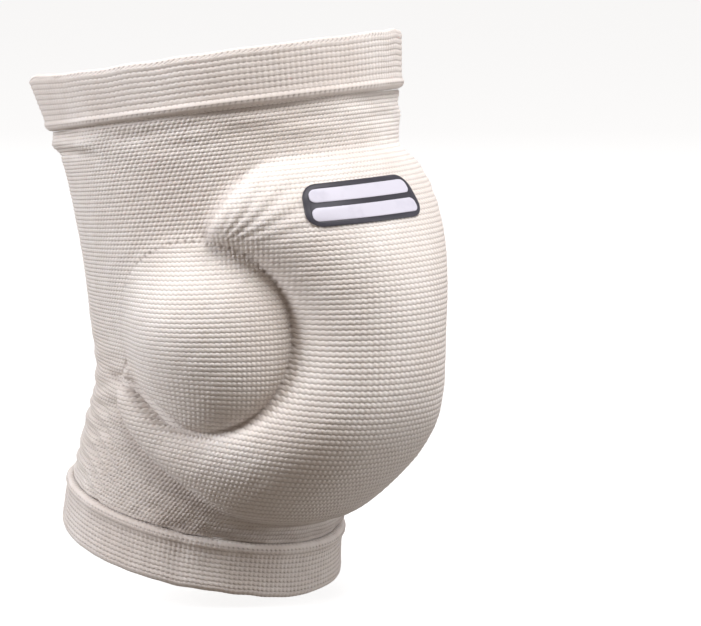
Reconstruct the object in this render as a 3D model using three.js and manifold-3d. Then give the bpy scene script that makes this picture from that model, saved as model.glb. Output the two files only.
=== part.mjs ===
// Knee pad for volleyball: a knitted elastic tube, bent as on a knee, with foam pads at the front and
// sides. Millimetres. +Z runs up the leg, the kneecap looks along -Y, and the origin is the middle of
// the hollow where the knee bends.
import * as THREE from "three";
import { mergeVertices } from "three/addons/utils/BufferGeometryUtils.js";
import Module from "manifold-3d";

// Lengths along the leg, measured from the bend
const ABOVE_BEND = 134;
const BELOW_BEND = 68.5;
const TOP_CUFF_HEIGHT = 22;
const BOTTOM_CUFF_HEIGHT = 21;

// The hollow at its widest knee section, and how far the ends sit behind the knee
const HALF_WIDTH = 59;
const FRONT_DEPTH = 61.5;
const BACK_DEPTH = 59;
const SET_BACK = 22.5;

// Knit, hems, how far the foam stays off the leg, and the clearance that separate pieces keep
const KNIT_WALL = 2.2;
const HEM_WALL = 4;
const HEM_ROLL = 0.7;
const HEM_ROLL_WIDTH = 3.6;
const BACKING = 0.9;
const CLEARANCE = 0.3;

// Front pad: its reach along and around the leg, and its foam
const AROUND_RADIUS = 60;
const PAD_TOP = 92;
const PAD_BOTTOM = 40.5;
const ARM_REACH = 107.6;
const PAD_CREST_UP = 30;
const PAD_SWELL = 32.5;
const PAD_LIP_RUN = 8;
const TOP_FULLNESS = 0.93;
const BOTTOM_FULLNESS = 0.8;
const ARM_THINNING = 0.85;
const THINNING_START = 10;

// Side pads: discs beside the knee, and the groove that parts them from the front pad
const DISC_RADIUS = 36;
const DISC_AROUND = 69.5;
const DISC_UP = 28;
const DISC_SWELL = 15;
const DISC_FULLNESS = 0.75;
const DISC_RIM = 1.5;
const GROOVE_FOAM = 6;
const GROOVE_RUN = 34;
const GROOVE_FULLNESS = 0.72;

// Badge on the upper part of the front pad
const BADGE_WIDTH = 40;
const BADGE_HEIGHT = 15;
const BADGE_CORNER = 5;
const BADGE_BORDER = 1.8;
const BADGE_PANEL_CORNER = 2;
const BADGE_THICKNESS = 0.8;
const BADGE_PANEL_THICKNESS = 0.5;
const BADGE_REACH = 12;
const BADGE_AROUND = 11;
const BADGE_UP = 74;

// Facets of the surfaces
const PAD_COLUMNS = 42;
const BACK_COLUMNS = 10;
const PAD_ROWS = 23;
const HEM_COLUMNS = 34;
const CORE_COLUMNS = 32;
const CORE_ROWS = 10;
const DISC_SIDES = 36;
const BADGE_STEP = 8;
const CORNER_STEPS = 2;
const FOLD_STEPS = 4;

// Sections of the hollow from the bottom rim to the top rim.
// up: share of BELOW_BEND under the bend and of ABOVE_BEND over it; width, front and back: shares of the
// half width, front depth and back depth; back set: share of SET_BACK; lean: degrees that the section's
// front is lifted
const SECTIONS = [
  { up: -1, width: 0.907, front: 0.919, back: 0.915, backSet: 1, lean: -14 },
  { up: -0.743, width: 0.89, front: 0.902, back: 0.898, backSet: 0.889, lean: -13.5 },
  { up: -0.429, width: 0.915, front: 0.927, back: 0.907, backSet: 0.556, lean: -11 },
  { up: 0, width: 0.966, front: 0.976, back: 0.958, backSet: 0.022, lean: -5 },
  { up: 0.224, width: 1, front: 1, back: 1, backSet: -0.022, lean: 1.5 },
  { up: 0.522, width: 1.059, front: 1.073, back: 1.025, backSet: 0.156, lean: 6 },
  { up: 0.746, width: 1.119, front: 1.146, back: 1.068, backSet: 0.356, lean: 8.5 },
  { up: 1, width: 1.186, front: 1.19, back: 1.28, backSet: 0.533, lean: 10.5 },
];

// Outline of the front pad's half, from its top centre down to its bottom centre, with the arm that runs
// back under the side pad. Where it dips into the side pad's disc it doesn't show.
// around: share of ARM_REACH; up: share of PAD_TOP over the bend and of PAD_BOTTOM under it
const PAD_OUTLINE = [
  { around: 0, up: 1 },
  { around: 0.19, up: 1 },
  { around: 0.31, up: 0.993 },
  { around: 0.4, up: 0.967 },
  { around: 0.475, up: 0.908 },
  { around: 0.53, up: 0.83 },
  { around: 0.575, up: 0.75 },
  { around: 0.65, up: 0.54 },
  { around: 0.836, up: 0.326 },
  { around: 0.965, up: 0.16 },
  { around: 1, up: 0.065 },
  { around: 0.967, up: -0.123 },
  { around: 0.9, up: -0.32 },
  { around: 0.797, up: -0.509 },
  { around: 0.664, up: -0.672 },
  { around: 0.539, up: -0.802 },
  { around: 0.4275, up: -0.914 },
  { around: 0.297, up: -0.975 },
  { around: 0.166, up: -1 },
  { around: 0, up: -1 },
];

const wasm = await Module();
wasm.setup();

// Small functions
const clamp01 = (t) => Math.min(1, Math.max(0, t));
const smooth = (t) => clamp01(t) ** 2 * (3 - 2 * clamp01(t));
const roundEdge = (t) => Math.sqrt(1 - (1 - clamp01(t)) ** 2);
const mix = (a, b, t) => a + (b - a) * t;

// Smooth value of one column of the section table at a height
const sectionHeights = SECTIONS.map((s) => s.up * (s.up < 0 ? BELOW_BEND : ABOVE_BEND));
function sectionValue(column, up) {
  const values = SECTIONS.map((s) => s[column]);
  const last = values.length - 1;
  const rise = (i) => (values[i + 1] - values[i]) / (sectionHeights[i + 1] - sectionHeights[i]);
  const tangent = (i) => {
    if (i === 0) return rise(0);
    if (i === last) return rise(last - 1);
    return (rise(i - 1) + rise(i)) / 2;
  };
  let i = 0;
  while (i < last - 1 && up > sectionHeights[i + 1]) i++;
  const span = sectionHeights[i + 1] - sectionHeights[i];
  const t = clamp01((up - sectionHeights[i]) / span);
  return (
    (2 * t ** 3 - 3 * t ** 2 + 1) * values[i] +
    (t ** 3 - 2 * t ** 2 + t) * span * tangent(i) +
    (-2 * t ** 3 + 3 * t ** 2) * values[i + 1] +
    (t ** 3 - t ** 2) * span * tangent(i + 1)
  );
}

// Point at an angle around the leg (0 at the kneecap, growing towards -X), a height along the leg and a
// distance out from the skin
function legPoint(angle, up, out) {
  const width = HALF_WIDTH * sectionValue("width", up);
  const depth =
    Math.cos(angle) >= 0
      ? FRONT_DEPTH * sectionValue("front", up)
      : BACK_DEPTH * sectionValue("back", up);
  const lean = THREE.MathUtils.degToRad(sectionValue("lean", up));
  const normal = new THREE.Vector2(-Math.sin(angle) / width, Math.cos(angle) / depth).normalize();
  const side = -width * Math.sin(angle) + out * normal.x;
  const fore = depth * Math.cos(angle) + out * normal.y;
  const middle = SET_BACK * sectionValue("backSet", up);
  return new THREE.Vector3(side, middle - fore * Math.cos(lean), up + fore * Math.sin(lean));
}

// Front pad's outline as a smooth line, in millimetres around and up
const outline = new THREE.SplineCurve(
  PAD_OUTLINE.map(
    (p) => new THREE.Vector2(p.around * ARM_REACH, p.up * (p.up < 0 ? PAD_BOTTOM : PAD_TOP)),
  ),
).getPoints(PAD_OUTLINE.length * 4);

// Distance from a place on the leg to the outline, positive inside it, and the nearest place on the line
function toOutline(around, up) {
  const place = new THREE.Vector2(Math.abs(around), up);
  let nearest = null;
  let best = Infinity;
  let inside = false;
  for (let i = 0; i + 1 < outline.length; i++) {
    const a = outline[i];
    const b = outline[i + 1];
    const edge = b.clone().sub(a);
    const t = clamp01(place.clone().sub(a).dot(edge) / edge.lengthSq());
    const foot = a.clone().addScaledVector(edge, t);
    const distance = foot.distanceTo(place);
    if (distance < best) {
      best = distance;
      nearest = foot;
    }
    const crosses = a.y > up !== b.y > up;
    if (crosses && place.x < a.x + (edge.x * (up - a.y)) / edge.y) inside = !inside;
  }
  return { distance: inside ? best : -best, nearest };
}

// How deep a place lies inside the disc of its side's pad
const inDisc = (around, up) => DISC_RADIUS - Math.hypot(Math.abs(around) - DISC_AROUND, up - DISC_UP);

// How deep a place lies inside the whole padded field
const inField = (around, up) =>
  Math.max(toOutline(around, up).distance, inDisc(around, up) + DISC_RIM);

// Height of the foam over the leg at a place
function foamHeight(around, up) {
  const field = inField(around, up);
  if (field <= 0) return 0;
  const disc = inDisc(around, up);
  const thinning = 1 - ARM_THINNING * smooth((Math.abs(around) - THINNING_START) / ARM_REACH);
  const over = (up - PAD_CREST_UP) / (PAD_TOP - PAD_CREST_UP);
  const under = (PAD_CREST_UP - up) / (PAD_CREST_UP + PAD_BOTTOM);
  const along =
    up > PAD_CREST_UP
      ? (1 - clamp01(over) ** 2) ** TOP_FULLNESS
      : (1 - clamp01(under) ** 2) ** BOTTOM_FULLNESS;
  const swell = PAD_SWELL * thinning * along;
  const groove = Math.min(GROOVE_FOAM * thinning, swell);
  const lip = roundEdge(field / PAD_LIP_RUN);
  if (disc < 0) {
    const rise = (1 - (1 - clamp01(-disc / GROOVE_RUN)) ** 2) ** GROOVE_FULLNESS;
    return mix(groove, swell, rise) * lip;
  }
  const crown = (1 - (1 - disc / DISC_RADIUS) ** 2) ** DISC_FULLNESS;
  return (groove + (DISC_SWELL - groove) * crown) * lip;
}

// Distance from the leg to the knit's outer face, with the wall kept full where the surface is steep
const MOST_STEEPNESS = 1.6;
const STEEPNESS_STEP = 2;
function knitHeight(around, up) {
  const half = STEEPNESS_STEP / 2;
  const across = foamHeight(around + half, up) - foamHeight(around - half, up);
  const along = foamHeight(around, up + half) - foamHeight(around, up - half);
  const steepness = Math.hypot(1, across / STEEPNESS_STEP, along / STEEPNESS_STEP);
  return foamHeight(around, up) + KNIT_WALL * Math.min(steepness, MOST_STEEPNESS);
}

// Grid of places around and up the sleeve. Places near the outline or the groove are moved onto it, so
// that the facets meet along both.
const sleeveBottom = -BELOW_BEND + BOTTOM_CUFF_HEIGHT + CLEARANCE;
const sleeveTop = ABOVE_BEND - TOP_CUFF_HEIGHT - CLEARANCE;
const PAD_MARGIN = 5;
const SNAP_SHARE = 0.5;

function sleevePlaces() {
  const reach = (ARM_REACH + PAD_MARGIN) / AROUND_RADIUS;
  const angles = [];
  for (let i = 0; i < PAD_COLUMNS; i++) angles.push(mix(-reach, reach, i / PAD_COLUMNS));
  for (let i = 0; i < BACK_COLUMNS; i++) {
    angles.push(mix(reach, 2 * Math.PI - reach, i / BACK_COLUMNS));
  }
  const heights = [sleeveBottom];
  const low = -PAD_BOTTOM - PAD_MARGIN / 2;
  const high = PAD_TOP + PAD_MARGIN / 2;
  for (let i = 0; i <= PAD_ROWS; i++) heights.push(mix(low, high, i / PAD_ROWS));
  heights.push(mix(high, sleeveTop, 0.5), sleeveTop);
  const snap = (SNAP_SHARE * (high - low)) / PAD_ROWS;
  return heights.map((up) => angles.map((angle) => snapped(angle * AROUND_RADIUS, up, snap)));
}

function snapped(around, up, reach) {
  const side = Math.sign(around) || 1;
  const disc = inDisc(around, up);
  if (Math.abs(disc) < reach) {
    const fromDisc = new THREE.Vector2(Math.abs(around) - DISC_AROUND, up - DISC_UP);
    fromDisc.setLength(DISC_RADIUS);
    return { around: side * (DISC_AROUND + fromDisc.x), up: DISC_UP + fromDisc.y, onEdge: true };
  }
  const { distance, nearest } = toOutline(around, up);
  if (disc < 0 && Math.abs(distance) < reach && nearest.x > reach) {
    return { around: side * nearest.x, up: nearest.y, onEdge: true };
  }
  return { around, up, onEdge: false };
}

// Triangles
const quad = (list, a, b, c, d) => list.push(a, b, c, a, c, d);

function geometryOf(points, triangles) {
  const geometry = new THREE.BufferGeometry();
  geometry.setAttribute(
    "position",
    new THREE.Float32BufferAttribute(points.flatMap((p) => [p.x, p.y, p.z]), 3),
  );
  geometry.setIndex(triangles);
  return geometry;
}

function solidOf(geometry) {
  const bare = geometry.clone();
  bare.deleteAttribute("normal");
  bare.deleteAttribute("uv");
  const merged = mergeVertices(bare, 1e-4);
  return new wasm.Manifold(
    new wasm.Mesh({
      numProp: 3,
      vertProperties: new Float32Array(merged.attributes.position.array),
      triVerts: new Uint32Array(merged.index.array),
    }),
  );
}

function geometryOfSolid(solid) {
  const mesh = solid.getMesh();
  const geometry = new THREE.BufferGeometry();
  const position = [];
  for (let i = 0; i < mesh.numVert; i++) {
    for (let k = 0; k < 3; k++) position.push(mesh.vertProperties[i * mesh.numProp + k]);
  }
  geometry.setAttribute("position", new THREE.Float32BufferAttribute(position, 3));
  geometry.setIndex(Array.from(mesh.triVerts));
  return geometry;
}

// Two triangles of one cell of a grid that runs round. The cell is split along an edge of the pads where
// one crosses it, and otherwise along its flatter diagonal.
function cell(triangles, i, j, start, inward) {
  const columns = places[0].length;
  const next = (j + 1) % columns;
  const corners = [
    [i, j],
    [i + 1, j],
    [i + 1, next],
    [i, next],
  ];
  const [ha, hb, hc, hd] = corners.map(([row, column]) => foam[row][column]);
  const [ea, eb, ec, ed] = corners.map(([row, column]) => places[row][column].onEdge);
  const flatter = Math.abs(hb - hd) < Math.abs(ha - hc);
  const turned = (ea && ec) === (eb && ed) ? flatter : eb && ed;
  const [a, b, c, d] = corners.map(([row, column]) => start + row * columns + column);
  const [p, q, r, s] = turned ? [b, c, d, a] : [a, b, c, d];
  if (inward) quad(triangles, p, s, r, q);
  else quad(triangles, p, q, r, s);
}

// Sleeve, a grid outside and the same grid inside, joined at both ends
const places = sleevePlaces();
const foam = places.map((row) => row.map((p) => foamHeight(p.around, p.up)));

function gridPoints(height) {
  return places.flatMap((row, i) =>
    row.map((p, j) => legPoint(p.around / AROUND_RADIUS, p.up, height(p, foam[i][j]))),
  );
}

function sleeveGeometry() {
  const columns = places[0].length;
  const last = places.length - 1;
  const outer = gridPoints((p) => knitHeight(p.around, p.up));
  const inner = gridPoints((p, foamHere) => foamHere);
  const count = outer.length;
  const triangles = [];
  for (let i = 0; i < last; i++) {
    for (let j = 0; j < columns; j++) {
      cell(triangles, i, j, 0, false);
      cell(triangles, i, j, count, true);
    }
  }
  for (let j = 0; j < columns; j++) {
    const next = (j + 1) % columns;
    const top = last * columns;
    quad(triangles, j, next, count + next, count + j);
    quad(triangles, top + next, top + j, count + top + j, count + top + next);
  }
  return geometryOf([...outer, ...inner], triangles);
}

// Closed core that fills a grid of the sleeve, with a flat fan at each end
function coreGeometry(points, columns, rows, split) {
  const triangles = [];
  for (let i = 0; i + 1 < rows; i++) {
    for (let j = 0; j < columns; j++) split(triangles, i, j);
  }
  const ends = [
    { first: 0, flip: false },
    { first: (rows - 1) * columns, flip: true },
  ];
  const all = [...points];
  for (const { first, flip } of ends) {
    const ring = points.slice(first, first + columns);
    const centre = ring
      .reduce((sum, p) => sum.add(p), new THREE.Vector3())
      .divideScalar(columns);
    const hub = all.push(centre) - 1;
    for (let j = 0; j < columns; j++) {
      const a = first + j;
      const b = first + ((j + 1) % columns);
      if (flip) triangles.push(hub, b, a);
      else triangles.push(hub, a, b);
    }
  }
  return geometryOf(all, triangles);
}

// Space that foam fills: everything inside the sleeve, less the leg. Outside the pads, where the given
// depth into them is negative, the filled space dips under the leg's skin, so that nothing is left there.
const OUTSIDE_FALL = 0.8;
const OUTSIDE_DEPTH = 6;
function foamShell(depthInto) {
  const points = gridPoints((p, foamHere) => {
    const field = depthInto(p.around, p.up);
    const fall = field < 0 ? Math.min(OUTSIDE_DEPTH, -field * OUTSIDE_FALL) : 0;
    return foamHere - CLEARANCE - fall;
  });
  const pocket = solidOf(
    coreGeometry(points, places[0].length, places.length, (triangles, i, j) =>
      cell(triangles, i, j, 0, false),
    ),
  );
  const legPoints = [];
  for (let i = 0; i <= CORE_ROWS; i++) {
    const up = mix(sleeveBottom - PAD_MARGIN, sleeveTop + PAD_MARGIN, i / CORE_ROWS);
    for (let j = 0; j < CORE_COLUMNS; j++) {
      legPoints.push(legPoint((2 * Math.PI * j) / CORE_COLUMNS, up, BACKING));
    }
  }
  const leg = solidOf(
    coreGeometry(legPoints, CORE_COLUMNS, CORE_ROWS + 1, (triangles, i, j) => {
      const next = (j + 1) % CORE_COLUMNS;
      const [low, high] = [i * CORE_COLUMNS, (i + 1) * CORE_COLUMNS];
      quad(triangles, low + j, high + j, high + next, low + next);
    }),
  );
  return pocket.subtract(leg);
}

// Round plug that cuts a side pad out of the foam
function discPlug(side, radius) {
  const below = -DISC_SWELL;
  const above = 2 * PAD_SWELL;
  const points = [];
  for (const out of [below, above]) {
    for (let j = 0; j < DISC_SIDES; j++) {
      const turn = (2 * Math.PI * j) / DISC_SIDES;
      const around = side * (DISC_AROUND + radius * Math.cos(turn));
      points.push(legPoint(around / AROUND_RADIUS, DISC_UP + radius * Math.sin(turn), out));
    }
    points.push(legPoint((side * DISC_AROUND) / AROUND_RADIUS, DISC_UP, out));
  }
  const triangles = [];
  const hub = DISC_SIDES;
  const step = DISC_SIDES + 1;
  for (let j = 0; j < DISC_SIDES; j++) {
    const next = (j + 1) % DISC_SIDES;
    triangles.push(hub, next, j, step + hub, step + j, step + next);
    quad(triangles, j, next, step + next, step + j);
  }
  if (side > 0) triangles.reverse();
  return solidOf(geometryOf(points, triangles));
}

// The pad itself, without the crumbs that a cut can leave along a facet
function largestBody(solid) {
  return solid.decompose().reduce((a, b) => (b.volume() > a.volume() ? b : a));
}

function sidePad(side) {
  return largestBody(foamShell(inField).intersect(discPlug(side, DISC_RADIUS - CLEARANCE / 2)));
}

function frontPad() {
  const pad = foamShell((around, up) => toOutline(around, up).distance)
    .subtract(discPlug(-1, DISC_RADIUS + CLEARANCE / 2))
    .subtract(discPlug(1, DISC_RADIUS + CLEARANCE / 2));
  return largestBody(pad);
}

// Roll along a hem's inner edge. along: share of the roll's width; rise: share of its height
const HEM_ROLL_FORM = [
  { along: 0.12, rise: 0.6 },
  { along: 0.5, rise: 1 },
  { along: 1, rise: 0 },
];

// Hem: a doubled band whose free edge is a round fold and whose other edge is a small roll.
// away: 1 when the rim is at the top, -1 when it is at the bottom
function hemGeometry(rim, edge, away) {
  const fold = HEM_WALL / 2;
  const section = [];
  const add = (up, out) => section.push({ up, out });
  add(edge, 0);
  add(edge, KNIT_WALL);
  for (const { along, rise } of HEM_ROLL_FORM) {
    add(edge + away * along * HEM_ROLL_WIDTH, HEM_WALL + rise * HEM_ROLL);
  }
  for (let i = 0; i <= FOLD_STEPS; i++) {
    const angle = Math.PI / 2 - (Math.PI * i) / FOLD_STEPS;
    add(rim - away * fold * (1 - Math.cos(angle)), fold + fold * Math.sin(angle));
  }
  const points = section.flatMap(({ up, out }) =>
    Array.from({ length: HEM_COLUMNS }, (_, j) =>
      legPoint((2 * Math.PI * j) / HEM_COLUMNS, up, out),
    ),
  );
  const triangles = [];
  for (let i = 0; i < section.length; i++) {
    const row = i * HEM_COLUMNS;
    const above = ((i + 1) % section.length) * HEM_COLUMNS;
    for (let j = 0; j < HEM_COLUMNS; j++) {
      const next = (j + 1) % HEM_COLUMNS;
      if (away > 0) quad(triangles, row + j, above + j, above + next, row + next);
      else quad(triangles, row + j, row + next, above + next, above + j);
    }
  }
  return geometryOf(points, triangles);
}

// Rounded rectangle with points along its straight sides, so that it can bend with the pad
function roundedOutline(left, right, bottom, top, corner) {
  const points = [];
  const corners = [
    { x: right - corner, y: top - corner, from: 0 },
    { x: left + corner, y: top - corner, from: 90 },
    { x: left + corner, y: bottom + corner, from: 180 },
    { x: right - corner, y: bottom + corner, from: 270 },
  ];
  for (const { x, y, from } of corners) {
    for (let i = 0; i <= CORNER_STEPS; i++) {
      const angle = THREE.MathUtils.degToRad(from + (90 * i) / CORNER_STEPS);
      points.push(new THREE.Vector2(x + corner * Math.cos(angle), y + corner * Math.sin(angle)));
    }
  }
  const divided = [];
  points.forEach((p, i) => {
    const q = points[(i + 1) % points.length];
    const pieces = Math.max(1, Math.round(p.distanceTo(q) / BADGE_STEP));
    for (let k = 0; k < pieces; k++) divided.push(p.clone().lerp(q, k / pieces));
  });
  return divided;
}

// Everything under a level over the knit's outer face
function knitCore(level) {
  const points = gridPoints((p) => knitHeight(p.around, p.up) + level);
  return solidOf(
    coreGeometry(points, places[0].length, places.length, (triangles, i, j) =>
      cell(triangles, i, j, 0, false),
    ),
  );
}

// Plate of a flat shape between two levels over the knit, bent with it
function badgePlate(shape, from, to) {
  const flat = new THREE.ExtrudeGeometry(shape, { depth: 2 * BADGE_REACH, bevelEnabled: false });
  const position = flat.getAttribute("position");
  for (let i = 0; i < position.count; i++) {
    const around = BADGE_AROUND - position.getX(i);
    const up = BADGE_UP + position.getY(i);
    const out = knitHeight(around, up) + position.getZ(i) - BADGE_REACH;
    const p = legPoint(around / AROUND_RADIUS, up, out);
    position.setXYZ(i, p.x, p.y, p.z);
  }
  const plate = knitCore(to).intersect(solidOf(flat)).subtract(knitCore(from));
  return geometryOfSolid(largestBody(plate));
}

function badgeBase() {
  const [width, height] = [BADGE_WIDTH / 2, BADGE_HEIGHT / 2];
  const shape = new THREE.Shape(roundedOutline(-width, width, -height, height, BADGE_CORNER));
  return badgePlate(shape, CLEARANCE, CLEARANCE + BADGE_THICKNESS);
}

// Pale panel over the upper (row 1) or lower (row -1) half of the base
function badgePanel(row) {
  const side = BADGE_WIDTH / 2 - BADGE_BORDER;
  const far = BADGE_HEIGHT / 2 - BADGE_BORDER;
  const near = BADGE_BORDER / 2;
  const [bottom, top] = row > 0 ? [near, far] : [-far, -near];
  const shape = new THREE.Shape(roundedOutline(-side, side, bottom, top, BADGE_PANEL_CORNER));
  const from = BADGE_THICKNESS + 2 * CLEARANCE;
  return badgePlate(shape, from, from + BADGE_PANEL_THICKNESS);
}

// Materials
const knit = new THREE.MeshStandardMaterial({ color: 0xefe8df, roughness: 0.95, metalness: 0 });
const hem = new THREE.MeshStandardMaterial({ color: 0xe9e1d6, roughness: 0.95, metalness: 0 });
const padFoam = new THREE.MeshStandardMaterial({ color: 0xe4dccf, roughness: 0.9, metalness: 0 });
const darkRubber = new THREE.MeshStandardMaterial({ color: 0x1d1b22, roughness: 0.5, metalness: 0 });
const paleRubber = new THREE.MeshStandardMaterial({ color: 0xc9c7d3, roughness: 0.55, metalness: 0 });

// Assembly
const kneePad = new THREE.Group();

function addPiece(name, geometry, material) {
  geometry.computeVertexNormals();
  const mesh = new THREE.Mesh(geometry, material);
  mesh.name = name;
  kneePad.add(mesh);
}

addPiece("sleeve", sleeveGeometry(), knit);
addPiece("top_cuff", hemGeometry(ABOVE_BEND, ABOVE_BEND - TOP_CUFF_HEIGHT, 1), hem);
addPiece("bottom_cuff", hemGeometry(-BELOW_BEND, -BELOW_BEND + BOTTOM_CUFF_HEIGHT, -1), hem);
addPiece("front_pad", geometryOfSolid(frontPad()), padFoam);
addPiece("side_pad_right", geometryOfSolid(sidePad(1)), padFoam);
addPiece("side_pad_left", geometryOfSolid(sidePad(-1)), padFoam);
addPiece("badge_base", badgeBase(), darkRubber);
addPiece("badge_panel_upper", badgePanel(1), paleRubber);
addPiece("badge_panel_lower", badgePanel(-1), paleRubber);

export default kneePad;
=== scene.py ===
import math

import bpy
import numpy as np
from mathutils import Matrix, Vector


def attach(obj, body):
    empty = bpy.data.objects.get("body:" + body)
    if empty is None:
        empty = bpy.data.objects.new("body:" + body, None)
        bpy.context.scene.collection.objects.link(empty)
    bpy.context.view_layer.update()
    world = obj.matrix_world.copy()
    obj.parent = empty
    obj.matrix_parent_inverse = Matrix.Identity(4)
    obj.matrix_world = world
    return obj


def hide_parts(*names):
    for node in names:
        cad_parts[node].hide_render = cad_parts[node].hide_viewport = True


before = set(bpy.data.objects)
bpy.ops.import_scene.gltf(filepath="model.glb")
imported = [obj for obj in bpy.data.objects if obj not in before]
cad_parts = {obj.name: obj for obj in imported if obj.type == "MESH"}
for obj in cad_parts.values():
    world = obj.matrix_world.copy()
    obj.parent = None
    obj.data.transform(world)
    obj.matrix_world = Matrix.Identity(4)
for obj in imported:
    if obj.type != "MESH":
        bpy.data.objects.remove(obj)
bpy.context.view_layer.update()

# Lengths of the part in millimetres, as the solids have them
ABOVE_BEND = 134.0
BELOW_BEND = 68.5
TOP_CUFF_HEIGHT = 22.0
BOTTOM_CUFF_HEIGHT = 21.0
HALF_WIDTH = 59.0
FRONT_DEPTH = 61.5
BACK_DEPTH = 59.0
SET_BACK = 22.5
KNIT_WALL = 2.2
HEM_WALL = 4.0
AROUND_RADIUS = 60.0
PAD_TOP = 92.0
PAD_BOTTOM = 40.5
ARM_REACH = 107.6
PAD_CREST_UP = 30.0
PAD_SWELL = 33.0
PAD_LIP_RUN = 8.0
TOP_FULLNESS = 0.93
BOTTOM_FULLNESS = 0.78
ARM_THINNING = 0.78
THINNING_START = 10.0
DISC_RADIUS = 36.0
DISC_AROUND = 69.5
DISC_UP = 28.0
DISC_SWELL = 16.5
DISC_FULLNESS = 0.8
DISC_FULLNESS_BACK = 2.1
DISC_RIM = 1.5
GROOVE_FOAM = 3.0
GROOVE_RUN = 34.0
ARM_RUN = 22.0
GROOVE_FULLNESS = 0.66
BADGE_WIDTH = 40.0
BADGE_HEIGHT = 15.0
BADGE_AROUND = 11.0
BADGE_UP = 74.0
BADGE_CORNER = 5.0
BADGE_BORDER = 1.8
BADGE_PANEL_CORNER = 2.0
BADGE_HALF_GAP = 0.9
CLEARANCE = 0.3
BACKING = 0.9

# Foam: how its groove changes along the arms, the blur of the cloth that spans it, and its pieces' margins
ARM_RUN_START = 45.0
ARM_RUN_CHANGE = 40.0
DISC_FORE = (0.8, 0.6)
DISC_FORE_SPREAD = 1.6
FOAM_BLUR = 1.3
WALL_BLUR = 1.0
STEEPEST = 1.6
PAD_MARGIN = 4.0
DISC_MARGIN = 3.0
SEAM_HALF_GAP = 0.4

# Sections of the leg hollow: share of the length, width, front, back, set back, lean in degrees
SECTIONS = np.array(
    [
        (-1, 0.907, 0.919, 0.915, 1, -14),
        (-0.743, 0.89, 0.902, 0.898, 0.889, -13.5),
        (-0.429, 0.915, 0.927, 0.907, 0.556, -11),
        (0, 0.966, 0.976, 0.958, 0.022, -5),
        (0.224, 1, 1, 1, -0.022, 1.5),
        (0.522, 1.059, 1.073, 1.025, 0.156, 6),
        (0.746, 1.119, 1.146, 1.068, 0.356, 8.5),
        (1, 1.186, 1.19, 1.28, 0.533, 10.5),
    ]
)
PAD_OUTLINE = np.array(
    [
        (0, 1),
        (0.19, 1),
        (0.31, 0.993),
        (0.4, 0.967),
        (0.475, 0.908),
        (0.53, 0.83),
        (0.575, 0.75),
        (0.65, 0.54),
        (0.836, 0.326),
        (0.965, 0.16),
        (1, 0.065),
        (0.967, -0.123),
        (0.9, -0.32),
        (0.797, -0.509),
        (0.664, -0.672),
        (0.539, -0.802),
        (0.4275, -0.914),
        (0.297, -0.975),
        (0.166, -1),
        (0, -1),
    ]
)

# Stitches
WALES = 212
WALE_SAMPLES = 4
COURSE_SAMPLES = 4
SECTORS = 4
COURSE_PITCH = 1.72
COURSE_PITCH_ABOVE = 1.5
COURSE_PITCH_DROP = 0.15
WALE_PITCH_FRONT = 1.55
WALE_PITCH_BACK = 1.95
PAD_STITCH = 0.42
PLAIN_STITCH = 0.46
HEM_STITCH = 1.05
RIB_HEIGHT = 0.4
HOLE_DEPTH = 0.55
NEEDLE_PITCH = 2.9
RIM_NEEDLE_PITCH = 3.1
TOP_HEM_WALES = 196
TOP_HEM_PITCH = 2.05
BOTTOM_HEM_WALES = 180
BOTTOM_HEM_PITCH = 1.85
HEM_SAMPLES = 4
LIP_HEIGHT = 1.15
LIP_MIDDLE = 2.3
LIP_WIDTH = 1.7
HEM_ROUND = 1.5
HEM_WAVE_RADIUS = 70
HEM_RAISED = 2.8
RAISED_ANGLE = 2.25

# Folds of the cloth: pitches, heights and places in millimetres, and the ribs that fan out in a whole turn
CREASE_PITCH = 10.5
CREASE_HEIGHT = 0.4
PLEAT_PITCH = 6.6
PLEAT_HEIGHT = 0.6
TUCK_HEIGHT = 0.45
RUCK_HEIGHT = 0.35
FOLD_HEIGHT = 1.7
FOLD_HOLLOW = 0.7
SEAM_DEPTH = 1.5
RIM_DEPTH = 1.4
UPPER_CREASE = 3.0
LOWER_CREASE = 2.0
ARM_RIDGE = 1.4
FAN_HEIGHT = 0.26
FAN_RIBS = 27
FAN_AROUND = 60
FAN_UP = 60
PULL_AROUND = 42
PULL_UP = 73

# Edges of each arm of the front pad: how far round the leg, and how far up
ARM_UPPER = np.array([(60, -9), (71, -7.5), (80, -3.5), (91, 1.5), (101, 5.5), (116, 7.5), (130, 9)])
ARM_LOWER = np.array(
    [(50, -33), (56, -32), (67, -27.6), (81, -21.6), (91, -17), (101, -11), (109, -6), (120, -2)]
)

# One millimetre in metres
MM = 0.001


def smooth(t):
    t = np.clip(t, 0, 1)
    return t * t * (3 - 2 * t)


def mix(a, b, t):
    return a + (b - a) * t


# Soft steps from 0 to 1 and from 1 to 0, and a soft hump of 1 at 0
def rises(x, start, run):
    return smooth((x - start) / run)


def falls(x, end, run):
    return smooth((end - x) / run)


def bell(x, width):
    return np.exp(-((x / width) ** 2))


# Soft random waves over a plane, the same on every run
def waves(x, y, length, count, seed):
    r = np.random.default_rng(seed)
    total = np.zeros(np.broadcast(x, y).shape)
    for _ in range(count):
        turn = r.uniform(0, 2 * math.pi)
        size = length * r.uniform(0.7, 1.6)
        shift = r.uniform(0, 2 * math.pi)
        total = total + np.sin(2 * math.pi * (x * math.cos(turn) + y * math.sin(turn)) / size + shift)
    return total / math.sqrt(count)


# Leg hollow
section_ups = np.where(SECTIONS[:, 0] < 0, SECTIONS[:, 0] * BELOW_BEND, SECTIONS[:, 0] * ABOVE_BEND)


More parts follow.
